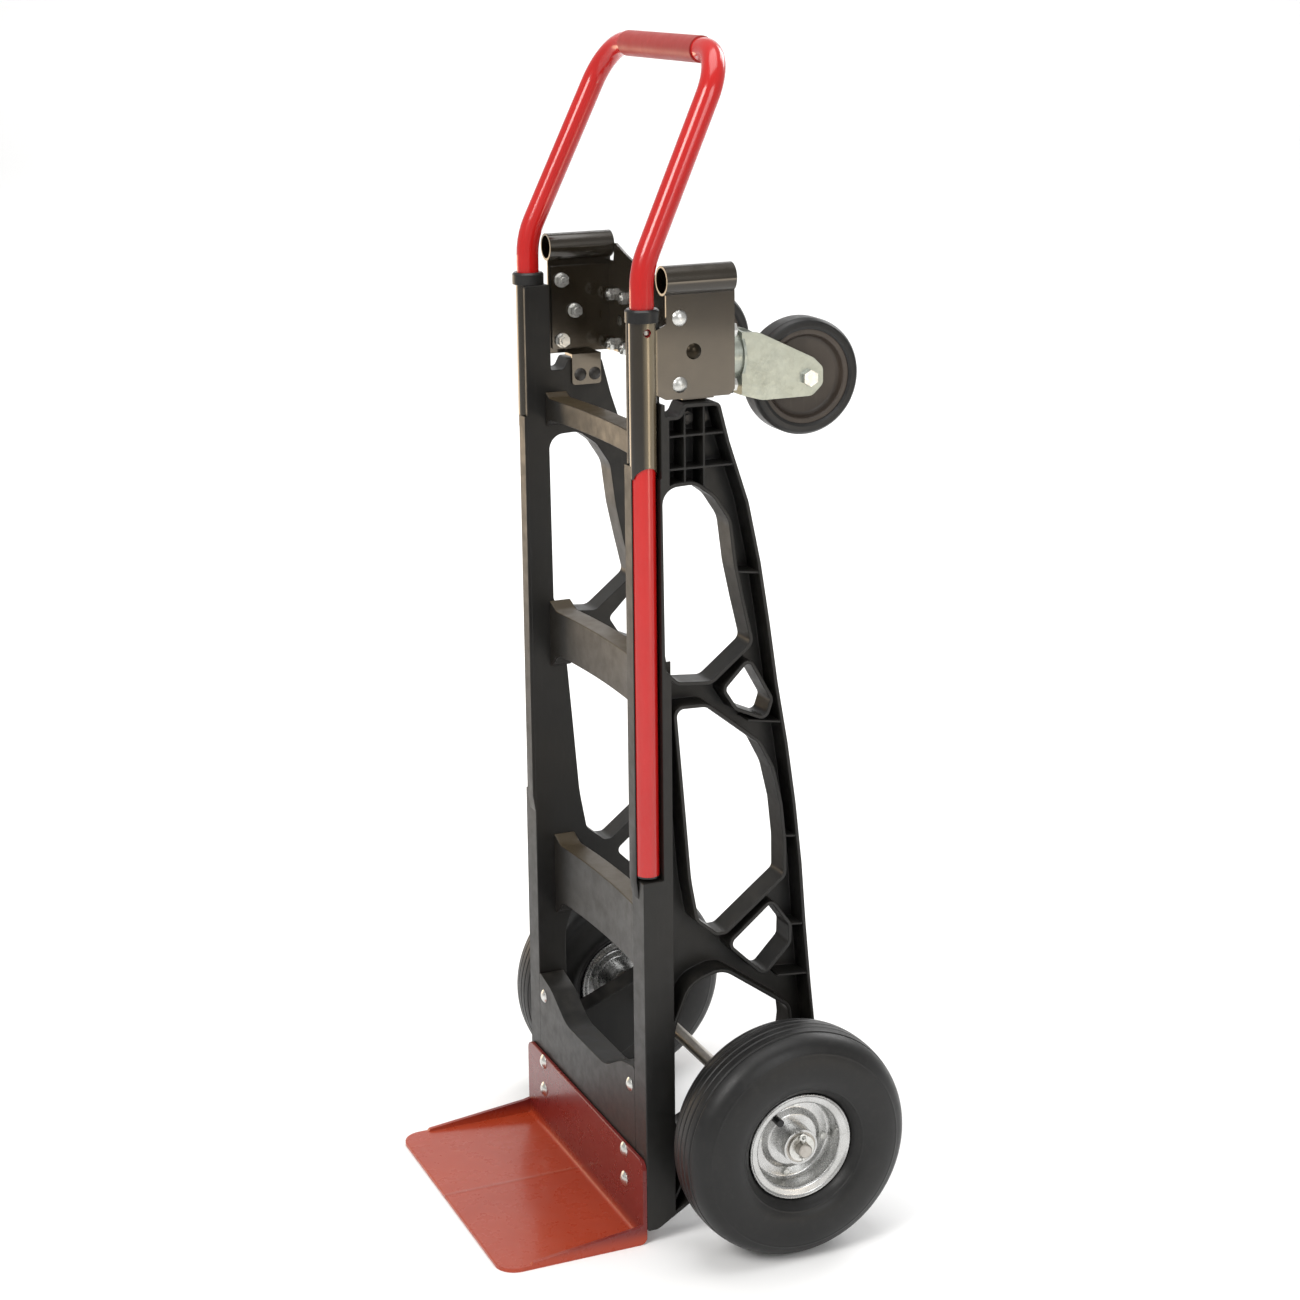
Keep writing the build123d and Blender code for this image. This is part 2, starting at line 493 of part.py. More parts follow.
# ---------------------------------------------------------------- axle set
axle = rod_x(AXLE_R, -AXLE_END, AXLE_END, 0, WHEEL_R)
axle = chamfer(axle.edges().filter_by(GeomType.CIRCLE), 1.2)
HUB_HALF = 28.5
PIN_X = WHEEL_X + HUB_HALF + 6.0
for s in (1, -1):
    axle = axle - rod_z(2.0, WHEEL_R - 12, WHEEL_R + 12, s * PIN_X, 0)
save("axle", axle)
sp = rod_x(12.0, 184.2, WHEEL_X - HUB_HALF - 0.4, 0, WHEEL_R) - rod_x(AXLE_R + 0.1, 180, 230, 0, WHEEL_R)
save("axle_spacers", sp, flip(sp))
ws = rod_x(15.0, WHEEL_X + HUB_HALF + 0.4, WHEEL_X + HUB_HALF + 2.8, 0, WHEEL_R) - rod_x(AXLE_R + 0.1, 260, 290, 0, WHEEL_R)
save("axle_washers", ws, flip(ws))
ck = rod_z(1.9, WHEEL_R - 13, WHEEL_R + 12, PIN_X, 0) + Pos(PIN_X, 0, WHEEL_R + 14) * (Rot(0, 90, 0) * Torus(3.4, 1.6))
save("cotter_pins", ck, flip(ck))


# ---------------------------------------------------------------- main wheels
def main_wheel():
    outer_side = [(26.9, 62.6), (35.5, 69.0), (41.6, 80.0), (TYRE_HALF_W, 93.0), (40.6, 108.0), (33.5, 121.5), (20.0, 129.6), (0, WHEEL_R)]
    inner_side = [(17.2, 58.0), (27.0, 70.5), (35.0, 82.0), (36.6, 94.0), (34.0, 107.0), (26.5, 117.5), (14.0, 123.4), (0, 124.6)]
    o = Spline(*(outer_side + [(-x, r) for x, r in reversed(outer_side[:-1])]))
    i = Spline(*(inner_side + [(-x, r) for x, r in reversed(inner_side[:-1])]))
    bead = [(26.9, 62.6), (23.4, 60.4), (21.8, 53.6), (20.2, 51.9), (16.6, 51.7), (17.2, 58.0)]
    e = [o.edge(), i.edge()]
    for p, q in zip(bead, bead[1:]):
        e.append(Line(p, q).edge())
        e.append(Line((-p[0], p[1]), (-q[0], q[1])).edge())
    tyre = revolve_x(Face(Wire(e)))
    tin = revolve_x(Pos(0, 92) * Ellipse(33.5, 30.0)) - revolve_x(Pos(0, 92) * Ellipse(32.0, 28.5))
    half = [(6.1, 20.05), (6.1, 28.6), (0.05, 34.4), (0.05, 47.2), (3.6, 50.4), (22.9, 51.3), (24.5, 59.0), (27.4, 61.4),
            (28.8, 59.9), (26.3, 57.6), (24.7, 49.3), (4.8, 48.4), (2.05, 45.9), (2.05, 35.3), (8.1, 29.4), (8.1, 20.05)]
    rr = [0, 4, 4, 3, 3, 2.5, 2, 0.6, 0.6, 3, 4, 3, 3, 3, 3, 0]
    rim_o = revolve_x(poly_face(half, rr))
    rim_i = flip(rim_o)
    hub = revolve_x(poly_face([(-HUB_HALF, 17.5), (-HUB_HALF, 20), (HUB_HALF, 20), (HUB_HALF, 17.5), (HUB_HALF - 11.2, 17.5),
                               (HUB_HALF - 11.2, 12), (-HUB_HALF + 11.2, 12), (-HUB_HALF + 11.2, 17.5)]))
    brg = revolve_x(poly_face([(HUB_HALF - 11.2, AXLE_R + 0.06), (HUB_HALF - 11.2, 17.5), (HUB_HALF - 0.2, 17.5), (HUB_HALF - 0.2, 14.6),
                               (HUB_HALF - 1.0, 14.6), (HUB_HALF - 1.0, 11.0), (HUB_HALF - 0.2, 11.0), (HUB_HALF - 0.2, AXLE_R + 0.06)]))
    bolts = []
    for k in range(4):
        a = math.radians(172 + 90 * k)
        y, z = 40.6 * math.cos(a), 40.6 * math.sin(a)
        rim_o = rim_o - rod_x(2.55, -5, 5, y, z)
        rim_i = rim_i - rod_x(2.55, -5, 5, y, z)
        bolts.append(hex_x(7, 2.05, 5.6, y, z) + rod_x(2.5, -8, 2.05, y, z))
        bolts.append(hex_x(7, -6.2, -2.05, y, z) - rod_x(2.5, -9.5, 0, y, z))
    a = math.radians(127)
    vy, vz = 40.6 * math.cos(a), 40.6 * math.sin(a)
    rim_o = rim_o - rod_x(3.5, -1, 5, vy, vz)
    # rubber valve stem with its cap, passing through the outer half
    valve = rod_x(3.5, 0.05, 2.05, vy, vz) + rod_x(4.0, 2.05, 19.0, vy, vz) + rod_x(3.3, 19.0, 21.0, vy, vz) \
        + rod_x(4.2, 21.0, 28.0, vy, vz)
    return dict(tyre=[tyre], inner_tube=[tin], rim_outer_half=[rim_o], rim_inner_half=[rim_i], wheel_hub=[hub],
                wheel_bearings=[brg, flip(brg)], rim_bolts=bolts, valve_stem=[valve])


mw = main_wheel()
for key, sh in mw.items():
    placed = [Pos(WHEEL_X, 0, WHEEL_R) * q for q in sh]
    save("right_" + key, *placed)
    save("left_" + key, *[flip(q) for q in placed])

# ---------------------------------------------------------------- swivel casters
CR_Y0, CR_Y1 = -14.0, -11.0      # fork crown


def caster():
    cx = CASTER_X
    top = prism_y([(cx - 27, SWIVEL_Z - 36), (cx + 27, SWIVEL_Z - 36), (cx + 27, SWIVEL_Z + 36), (cx - 27, SWIVEL_Z + 36)],
                  PLATE_Y, PLATE_Y + 3, 7)
    top = top + (rod_y(26.5, PLATE_Y + 3, -18.6, cx, SWIVEL_Z) - rod_y(17.5, PLATE_Y + 3, -18.0, cx, SWIVEL_Z))
    for (dx, dz) in CASTER_BOLTS:
        top = top - rod_y(4.05, PLATE_Y - 5, PLATE_Y + 6, cx + dx, SWIVEL_Z + dz)
    top = top - rod_y(6.0, PLATE_Y - 5, PLATE_Y + 6, cx, SWIVEL_Z)
    king = rod_y(6.0, PLATE_Y, -5.0, cx, SWIVEL_Z) + hex_y(17, CR_Y1 + 0.3, CR_Y1 + 5.2, cx, SWIVEL_Z)
    king = king + rod_y(13.5, PLATE_Y + 3, -16.0, cx, SWIVEL_Z)
    fork = rod_y(25.0, -18.3, CR_Y0, cx, SWIVEL_Z) - rod_y(17.5, -18.8, CR_Y0, cx, SWIVEL_Z)
    crown = prism_y([(cx - 21, SWIVEL_Z - 42), (cx + 21, SWIVEL_Z - 42), (cx + 21, SWIVEL_Z + 26), (cx - 21, SWIVEL_Z + 26)], CR_Y0, CR_Y1,
                    [4, 4, 4, 4]) + rod_y(28, CR_Y0, CR_Y1, cx, SWIVEL_Z)
    fork = fork + crown
    for s in (1, -1):
        x0, x1 = (cx + 18, cx + 21) if s > 0 else (cx - 21, cx - 18)
        leg = prism_x([(CR_Y0, SWIVEL_Z + 26), (CR_Y0, SWIVEL_Z - 42), (10, SWIVEL_Z - 49), (CASTER_AXLE_Y + 4, CASTER_AXLE_Z - 20),
                       (CASTER_AXLE_Y + 17, CASTER_AXLE_Z - 8), (CASTER_AXLE_Y + 17, CASTER_AXLE_Z + 10), (CASTER_AXLE_Y + 6, CASTER_AXLE_Z + 21),
                       (6, SWIVEL_Z + 24)], x0, x1, [2, 2, 30, 12, 9, 9, 12, 30])
        fork = fork + leg
    fork = fork - rod_y(6.06, -30, 0, cx, SWIVEL_Z)
    fork = fork - rod_x(5.05, cx - 30, cx + 30, CASTER_AXLE_Y, CASTER_AXLE_Z)
    ay, az = CASTER_AXLE_Y, CASTER_AXLE_Z
    bolt = rod_x(5.0, cx - 31, cx + 21, ay, az) + hex_x(16, cx + 21, cx + 27, ay, az)
    nut = hex_x(16, cx - 28, cx - 21, ay, az) - rod_x(5.0, cx - 32, cx - 18, ay, az)
    spanner = rod_x(7.0, cx - 17.95, cx + 17.95, ay, az) - rod_x(5.0, cx - 20, cx + 20, ay, az)
    tread_pts = [(-CASTER_HALF_W + 1.5, 51.0), (-CASTER_HALF_W, 54.0), (-CASTER_HALF_W + 0.4, 60.0), (-CASTER_HALF_W + 5, CASTER_R),
                 (CASTER_HALF_W - 5, CASTER_R), (CASTER_HALF_W - 0.4, 60.0), (CASTER_HALF_W, 54.0), (CASTER_HALF_W - 1.5, 51.0)]
    tread = revolve_x(poly_face(tread_pts, [0, 2, 3, 6, 6, 3, 2, 0]))
    core_pts = [(-17.4, 7.08), (-17.4, 15), (-5, 18), (-5, 43), (-13.5, 45.5), (-13.5, 51.0), (13.5, 51.0), (13.5, 45.5), (5, 43), (5, 18),
                (17.4, 15), (17.4, 7.08)]
    core = revolve_x(poly_face(core_pts, [0, 1.5, 4, 5, 2, 0, 0, 2, 5, 4, 1.5, 0]))
    at = Pos(cx, ay, az)
    return dict(caster_top_plate=[top], caster_kingpin=[king], caster_fork=[fork], caster_axle_bolt=[bolt, nut],
                caster_axle_sleeve=[spanner], caster_tread=[at * tread], caster_wheel_core=[at * core])


cs = caster()
for key, sh in cs.items():
    save("right_" + key, *sh)
    save("left_" + key, *[flip(q) for q in sh])

hw = []
for s in (1, -1):
    for (dx, dz) in CASTER_BOLTS:
        x, z = s * CASTER_X + dx, SWIVEL_Z + dz
        hw.append(hex_y(13, PLATE_Y + 3, PLATE_Y + 8, x, z) + rod_y(4.0, PLATE_Y - FL - 9, PLATE_Y + 3, x, z))
        hw.append(hex_y(13, PLATE_Y - FL - 6.5, PLATE_Y - FL, x, z) - rod_y(4.0, PLATE_Y - FL - 9.5, PLATE_Y, x, z))
save("caster_mount_hardware", *hw)
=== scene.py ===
import bpy
import bmesh
import json
import math
import random
from mathutils import Vector, Matrix


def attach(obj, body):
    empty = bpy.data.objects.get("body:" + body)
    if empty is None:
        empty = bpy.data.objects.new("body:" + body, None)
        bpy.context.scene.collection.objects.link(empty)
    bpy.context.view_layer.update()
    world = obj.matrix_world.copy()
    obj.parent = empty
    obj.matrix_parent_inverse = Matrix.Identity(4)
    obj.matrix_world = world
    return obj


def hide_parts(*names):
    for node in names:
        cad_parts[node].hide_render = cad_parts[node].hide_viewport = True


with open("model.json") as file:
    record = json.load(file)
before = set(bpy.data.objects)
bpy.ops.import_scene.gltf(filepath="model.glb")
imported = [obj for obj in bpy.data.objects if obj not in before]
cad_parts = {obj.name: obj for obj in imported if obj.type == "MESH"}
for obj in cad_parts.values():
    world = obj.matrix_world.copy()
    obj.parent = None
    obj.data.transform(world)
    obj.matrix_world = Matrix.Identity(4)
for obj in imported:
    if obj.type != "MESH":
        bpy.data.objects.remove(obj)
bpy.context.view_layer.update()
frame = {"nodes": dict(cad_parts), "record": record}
N = frame["nodes"]
random.seed(11)
YA = 0.0925                      # main axle, from the row's origin
SC = bpy.context.scene

# ------------------------------------------------------------------ shader helpers
def new_mat(name):
    m = bpy.data.materials.new(name)
    m.use_nodes = True
    nt = m.node_tree
    nt.nodes.clear()
    out = nt.nodes.new("ShaderNodeOutputMaterial")
    p = nt.nodes.new("ShaderNodeBsdfPrincipled")
    nt.links.new(p.outputs["BSDF"], out.inputs["Surface"])
    tc = nt.nodes.new("ShaderNodeTexCoord")
    return m, nt, p, tc


def noise(nt, tc, scale, detail=4.0, rough=0.55, dist=0.0, stretch=None):
    n = nt.nodes.new("ShaderNodeTexNoise")
    n.inputs["Scale"].default_value = scale
    n.inputs["Detail"].default_value = detail
    n.inputs["Roughness"].default_value = rough
    n.inputs["Distortion"].default_value = dist
    if stretch:
        mp = nt.nodes.new("ShaderNodeMapping")
        mp.inputs["Scale"].default_value = stretch
        nt.links.new(tc.outputs["Object"], mp.inputs["Vector"])
        nt.links.new(mp.outputs["Vector"], n.inputs["Vector"])
    else:
        nt.links.new(tc.outputs["Object"], n.inputs["Vector"])
    return n.outputs["Fac"]


def remap(nt, val, a, b, c, d, smooth=False):
    m = nt.nodes.new("ShaderNodeMapRange")
    if smooth:
        m.interpolation_type = "SMOOTHSTEP"
    m.inputs["From Min"].default_value = a
    m.inputs["From Max"].default_value = b
    m.inputs["To Min"].default_value = c
    m.inputs["To Max"].default_value = d
    nt.links.new(val, m.inputs["Value"])
    return m.outputs["Result"]


def mathn(nt, op, a, b=None, clamp=False):
    m = nt.nodes.new("ShaderNodeMath")
    m.operation = op
    m.use_clamp = clamp
    for i, v in enumerate((a, b)):
        if v is None:
            continue
        if isinstance(v, (int, float)):
            m.inputs[i].default_value = v
        else:
            nt.links.new(v, m.inputs[i])
    return m.outputs[0]


def mixc(nt, fac, a, b, mode="MIX"):
    m = nt.nodes.new("ShaderNodeMix")
    m.data_type = "RGBA"
    m.blend_type = mode
    if isinstance(fac, (int, float)):
        m.inputs["Factor"].default_value = fac
    else:
        nt.links.new(fac, m.inputs["Factor"])
    for s, v in (("A", a), ("B", b)):
        sock = [i for i in m.inputs if i.name == s and i.type == "RGBA"][0]
        if isinstance(v, (tuple, list)):
            sock.default_value = (v[0], v[1], v[2], 1)
        else:
            nt.links.new(v, sock)
    return [o for o in m.outputs if o.type == "RGBA"][0]


def bump(nt, height, strength, dist, normal=None):
    b = nt.nodes.new("ShaderNodeBump")
    b.inputs["Strength"].default_value = strength
    b.inputs["Distance"].default_value = dist
    nt.links.new(height, b.inputs["Height"])
    if normal is not None:
        nt.links.new(normal, b.inputs["Normal"])
    return b.outputs["Normal"]


def bevel(nt, radius):
    b = nt.nodes.new("ShaderNodeBevel")
    b.samples = 4
    b.inputs["Radius"].default_value = radius
    return b.outputs["Normal"]


def edge_mask(nt, lo, hi):
    g = nt.nodes.new("ShaderNodeNewGeometry")
    return remap(nt, g.outputs["Pointiness"], lo, hi, 0.0, 1.0)


def up_mask(nt, lo=0.35, hi=0.95):
    """Where a surface faces up: for settled dust, and for a painted up-facing reflection."""
    g = nt.nodes.new("ShaderNodeNewGeometry")
    s = nt.nodes.new("ShaderNodeSeparateXYZ")
    nt.links.new(g.outputs["Normal"], s.inputs[0])
    return remap(nt, s.outputs["Z"], lo, hi, 0.0, 1.0)


def height_z(nt, tc):
    s = nt.nodes.new("ShaderNodeSeparateXYZ")
    nt.links.new(tc.outputs["Object"], s.inputs[0])
    return s.outputs


# ------------------------------------------------------------------ materials
def nylon(name="nylon_black", base=(0.024, 0.024, 0.0235), warm=(0.036, 0.031, 0.026), rough=(0.34, 0.5), grain=0.10, bev=0.0009, spec=0.36,
          up_reflection_tint=None):
    m, nt, p, tc = new_mat(name)
    big = noise(nt, tc, 7.0, 3, 0.5)
    mid = noise(nt, tc, 60.0, 4, 0.6)
    fine = noise(nt, tc, 900.0, 3, 0.6)
    fibre = noise(nt, tc, 260.0, 2, 0.5, stretch=(1.0, 1.0, 0.12))
    col = mixc(nt, remap(nt, big, 0.35, 0.7, 0, 1), base, warm)
    streak = remap(nt, fibre, 0.58, 0.75, 0, 0.25)
    col = mixc(nt, streak, col, tuple(1.8 * c + 0.006 for c in base))
    dust = mathn(nt, "MULTIPLY", up_mask(nt), remap(nt, mid, 0.45, 0.75, 0.0, 0.16))
    col = mixc(nt, dust, col, (0.10, 0.088, 0.072))
    if up_reflection_tint is not None:
        # painted reflection: faces that turn up are tinted a warm brown, in patches, for the warm light they reflect
        amt = mathn(nt, "MULTIPLY", up_mask(nt, 0.25, 0.85), remap(nt, big, 0.3, 0.65, 0.55, 1.0))
        col = mixc(nt, amt, col, up_reflection_tint)
    nt.links.new(col, p.inputs["Base Color"])
    nt.links.new(remap(nt, mid, 0.3, 0.72, rough[0], rough[1]), p.inputs["Roughness"])
    p.inputs["Specular IOR Level"].default_value = spec
    n0 = bevel(nt, bev)
    n1 = bump(nt, fine, grain, 0.0002, n0)
    n2 = bump(nt, mid, 0.05, 0.0006, n1)
    nt.links.new(n2, p.inputs["Normal"])
    return m


def enamel(name, base, deep, rough=(0.10, 0.22), coat=0.6, coat_rough=0.06, peel=0.05, chip=None, scratch=0.0, bev=0.0008, dusty=0.1,
           metallic=0.0, spec=0.5, upright_shade=None, sleeve_reflection_tint=None):
    m, nt, p, tc = new_mat(name)
    big = noise(nt, tc, 5.0, 3, 0.5)
    mid = noise(nt, tc, 45.0, 4, 0.62)
    orange = noise(nt, tc, 420.0, 2, 0.5)
    col = mixc(nt, remap(nt, big, 0.3, 0.72, 0, 1), base, deep)
    if scratch > 0:
        sx = noise(nt, tc, 90.0, 5, 0.7, stretch=(0.18, 3.2, 1.0))
        sy = noise(nt, tc, 70.0, 5, 0.7, stretch=(3.4, 0.16, 1.0))
        sc = mathn(nt, "MAXIMUM", remap(nt, sx, 0.63, 0.70, 0, 1), remap(nt, sy, 0.645, 0.70, 0, 1))
        sc = mathn(nt, "MULTIPLY", sc, scratch)
        col = mixc(nt, sc, col, (base[0] * 1.25 + 0.05, base[1] * 1.6 + 0.04, base[2] * 1.6 + 0.035))
    if chip is not None:
        ed = edge_mask(nt, 0.53, 0.60)
        pick = remap(nt, noise(nt, tc, 120.0, 5, 0.7), 0.52, 0.62, 0, 1)
        ck = mathn(nt, "MULTIPLY", ed, pick, clamp=True)
        col = mixc(nt, ck, col, chip)
    crease = None
    if sleeve_reflection_tint is not None:
        # painted reflection: a warm tan highlight strip down the outer side of the guide sleeve, on faces turned
        # toward +X and +Y
        g = nt.nodes.new("ShaderNodeNewGeometry")
        sp = nt.nodes.new("ShaderNodeSeparateXYZ")
        nt.links.new(g.outputs["Normal"], sp.inputs[0])
        facing = mathn(nt, "ADD", mathn(nt, "MULTIPLY", sp.outputs["X"], 0.87), mathn(nt, "MULTIPLY", sp.outputs["Y"], 0.49))
        ax = height_z(nt, tc)
        reflection_strip = mathn(nt, "MULTIPLY", remap(nt, facing, 0.55, 0.95, 0.0, 1.0, True), remap(nt, ax["Y"], -0.0240, -0.0270, 0.0, 1.0))
        reflection_strip = mathn(nt, "MULTIPLY", reflection_strip, remap(nt, big, 0.3, 0.7, 0.65, 1.0))
        col = mixc(nt, reflection_strip, col, sleeve_reflection_tint)
    if upright_shade is not None:
        # painted shade: the blade's upright leaf is coloured a darker red than the blade, for its shaded look; a
        # faint stiffening crease runs front to back on the blade
        ax = height_z(nt, tc)
        col = mixc(nt, remap(nt, ax["Z"], 0.004, 0.020, 0.0, 1.0, True), col, upright_shade)
        dx = mathn(nt, "ABSOLUTE", mathn(nt, "ADD", ax["X"], 0.012))
        crease = remap(nt, dx, 0.0005, 0.0045, 1.0, 0.0, True)
        low = remap(nt, ax["Z"], 0.004, 0.006, 1.0, 0.0)
        crease = mathn(nt, "MULTIPLY", crease, low)
        # painted shade: the crease is also darkened in colour, besides its bump
        col = mixc(nt, mathn(nt, "MULTIPLY", crease, 0.30), col, tuple(0.45 * c for c in base))
    dust = mathn(nt, "MULTIPLY", up_mask(nt, 0.5, 1.0), remap(nt, mid, 0.45, 0.8, 0.0, dusty))
    col = mixc(nt, dust, col, (0.42, 0.38, 0.33))
    nt.links.new(col, p.inputs["Base Color"])
    r = remap(nt, mid, 0.3, 0.75, rough[0], rough[1])
    if scratch > 0:
        r = mathn(nt, "ADD", r, mathn(nt, "MULTIPLY", sc, 0.25), clamp=True)
    nt.links.new(r, p.inputs["Roughness"])
    p.inputs["Metallic"].default_value = metallic
    p.inputs["Specular IOR Level"].default_value = spec
    p.inputs["Coat Weight"].default_value = coat
    p.inputs["Coat Roughness"].default_value = coat_rough
    n0 = bevel(nt, bev)
    n1 = bump(nt, orange, peel, 0.0003, n0)
    n2 = bump(nt, mid, peel, 0.0008, n1)
    if crease is not None:
        n2 = bump(nt, crease, 0.5, 0.0012, n2)
    nt.links.new(n2, p.inputs["Normal"])
    return m


def metal(name, base, tint, rough=(0.22, 0.42), metallic=1.0, brush=None, spangle=0.0, grime=(0.16, 0.14, 0.11), grime_amt=0.35, bev=0.0005,
          dark_band=None):
    m, nt, p, tc = new_mat(name)
    mid = noise(nt, tc, 55.0, 5, 0.65)
    fine = noise(nt, tc, 500.0, 3, 0.6, stretch=brush)
    col = mixc(nt, remap(nt, mid, 0.32, 0.7, 0, 1), base, tint)
    if spangle > 0:
        v = nt.nodes.new("ShaderNodeTexVoronoi")
        v.inputs["Scale"].default_value = 170.0
        nt.links.new(tc.outputs["Object"], v.inputs["Vector"])
        bw = nt.nodes.new("ShaderNodeRGBToBW")
        nt.links.new(v.outputs["Color"], bw.inputs[0])
        col = mixc(nt, remap(nt, bw.outputs[0], 0.2, 0.9, 0, spangle), col, (min(1, base[0] * 1.2), min(1, base[1] * 1.2), min(1, base[2] * 1.18)))
    gr = remap(nt, noise(nt, tc, 26.0, 5, 0.7), 0.52, 0.78, 0, grime_amt)
    col = mixc(nt, gr, col, grime)
    if dark_band is not None:
        # bolt heads in this band of height, on the +X side, are coloured near black
        zz = height_z(nt, tc)["Z"]
        inb = mathn(nt, "MULTIPLY", mathn(nt, "GREATER_THAN", zz, dark_band[0]), mathn(nt, "LESS_THAN", zz, dark_band[1]))
        inb = mathn(nt, "MULTIPLY", inb, mathn(nt, "GREATER_THAN", height_z(nt, tc)["X"], 0.12))
        col = mixc(nt, inb, col, (0.030, 0.024, 0.017))
    nt.links.new(col, p.inputs["Base Color"])
    p.inputs["Metallic"].default_value = metallic
    nt.links.new(mathn(nt, "ADD", remap(nt, fine, 0.3, 0.7, rough[0], rough[1]), mathn(nt, "MULTIPLY", gr, 0.35), clamp=True), p.inputs["Roughness"])
    n0 = bevel(nt, bev)
    n1 = bump(nt, fine, 0.06, 0.0002, n0)
    n2 = bump(nt, mid, 0.04, 0.0006, n1)
    nt.links.new(n2, p.inputs["Normal"])
    return m


def rubber(name, base=(0.017, 0.017, 0.017), grey=(0.034, 0.033, 0.032), rough=(0.42, 0.62), dust_amt=0.22, bev=0.0004, grain=0.14):
    m, nt, p, tc = new_mat(name)
    big = noise(nt, tc, 14.0, 4, 0.6)
    mid = noise(nt, tc, 110.0, 5, 0.65)
    fine = noise(nt, tc, 1300.0, 2, 0.5)
    col = mixc(nt, remap(nt, big, 0.35, 0.7, 0, 1), base, grey)
    d = remap(nt, mid, 0.5, 0.78, 0, dust_amt)
    col = mixc(nt, d, col, (0.095, 0.088, 0.08))
    nt.links.new(col, p.inputs["Base Color"])
    nt.links.new(remap(nt, mid, 0.3, 0.75, rough[0], rough[1]), p.inputs["Roughness"])
    p.inputs["Specular IOR Level"].default_value = 0.34
    n0 = bevel(nt, bev)
    n1 = bump(nt, fine, grain, 0.00015, n0)
    n2 = bump(nt, mid, 0.07, 0.0004, n1)
    nt.links.new(n2, p.inputs["Normal"])
    return m


M = {
    "frame_nylon": nylon("nylon_black", (0.0080, 0.0079, 0.0076), (0.0125, 0.0112, 0.0092), (0.36, 0.50), 0.10, 0.0010, 0.34),
    "collar_nylon": nylon("nylon_collar", (0.008, 0.008, 0.008), (0.013, 0.0125, 0.0115), (0.26, 0.40), 0.06, 0.0006, 0.40),
    # black enamel with a brown tint and brown mottle that stand in for warm reflections: painted reflection
    "bracket_black": enamel("enamel_black", (0.0135, 0.0108, 0.0076), (0.038, 0.029, 0.017), (0.16, 0.27), 0.6, 0.08, 0.05, None, 0.0, 0.0008, 0.05,
                            0.45),
    "handle_red": enamel("enamel_red", (0.50, 0.0095, 0.0075), (0.39, 0.0068, 0.0062), (0.16, 0.26), 0.32, 0.07, 0.04, None, 0.06, 0.0005, 0.03,
                         0.0, 0.42),
    # toe plate: the last colour is the painted shade of the upright leaf
    "toe_red": enamel("enamel_toe", (0.385, 0.050, 0.017), (0.320, 0.037, 0.014), (0.24, 0.34), 0.26, 0.12, 0.04, None, 0.03, 0.0009, 0.02,
                      0.0, 0.30, (0.155, 0.016, 0.014)),
    "grip_red": nylon("vinyl_grip", (0.33, 0.032, 0.026), (0.28, 0.026, 0.022), (0.42, 0.54), 0.16, 0.0008, 0.45),
    "fastener_zinc": metal("zinc_fastener", (0.66, 0.66, 0.64), (0.52, 0.52, 0.49), (0.24, 0.38), 1.0, None, 0.2),
    "fastener_black": metal("black_oxide", (0.035, 0.034, 0.033), (0.055, 0.05, 0.045), (0.32, 0.5), 0.6, None, 0.0),
    "steel_bright": metal("steel_rod", (0.46, 0.44, 0.41), (0.34, 0.31, 0.27), (0.28, 0.46), 1.0, (0.25, 3.0, 3.0), 0.0),
    "caster_zinc": metal("zinc_pressed", (0.37, 0.395, 0.35), (0.30, 0.32, 0.275), (0.28, 0.44), 0.75, None, 0.35, (0.20, 0.20, 0.16), 0.2),
    "rim_silver": metal("rim_silver", (0.56, 0.56, 0.555), (0.45, 0.45, 0.44), (0.22, 0.34), 0.9, None, 0.0, (0.18, 0.17, 0.15), 0.20),
    "tyre_rubber": rubber("tyre_rubber", (0.0062, 0.0062, 0.0062), (0.0100, 0.0098, 0.0096), (0.36, 0.50), 0.06),
    "valve_rubber": rubber("valve_rubber", (0.008, 0.008, 0.008), (0.014, 0.014, 0.014), (0.35, 0.5), 0.06, 0.0002, 0.05),
    "caster_rubber": rubber("caster_rubber", (0.0085, 0.0083, 0.0080), (0.015, 0.0145, 0.014), (0.30, 0.48), 0.08, 0.0005, 0.08),
    "caster_core": nylon("caster_core", (0.036, 0.028, 0.022), (0.055, 0.043, 0.034), (0.32, 0.46), 0.08, 0.0008),
}
# crossmembers: the last colour is a painted warm reflection on their up-facing faces
CROSS = nylon("nylon_crossmember", (0.0085, 0.0082, 0.0076), (0.0150, 0.0125, 0.0090), (0.34, 0.48), 0.10, 0.0010, 0.36, (0.060, 0.044, 0.024))
# right head bracket: black enamel with a brown tint and mottle (painted reflection), plus a painted warm reflection
# strip on the sleeve's outer side
BRACKET_R = enamel("enamel_black_right", (0.0135, 0.0108, 0.0076), (0.038, 0.029, 0.017), (0.16, 0.27), 0.6, 0.08, 0.05, None, 0.0, 0.0008, 0.05,
                   0.45, 0.5, None, (0.235, 0.190, 0.120))
DARK_HEADS = metal("zinc_part_dark_heads", (0.66, 0.66, 0.64), (0.52, 0.52, 0.49), (0.24, 0.38), 1.0, None, 0.2, (0.16, 0.14, 0.11), 0.35, 0.0005,
                (0.990, 1.014))
slot_of = {s["node"]: s["material_slot"] for s in frame["record"]["subparts"]}
SPECIAL = {"upper_crossmember": CROSS, "middle_crossmember": CROSS, "lower_crossmember": CROSS, "bracket_bolts": DARK_HEADS,
           "right_head_bracket": BRACKET_R}
for name, ob in N.items():
    ob.data.materials.clear()
    special = SPECIAL.get(name)
    ob.data.materials.append(special if special else M[slot_of[name]])


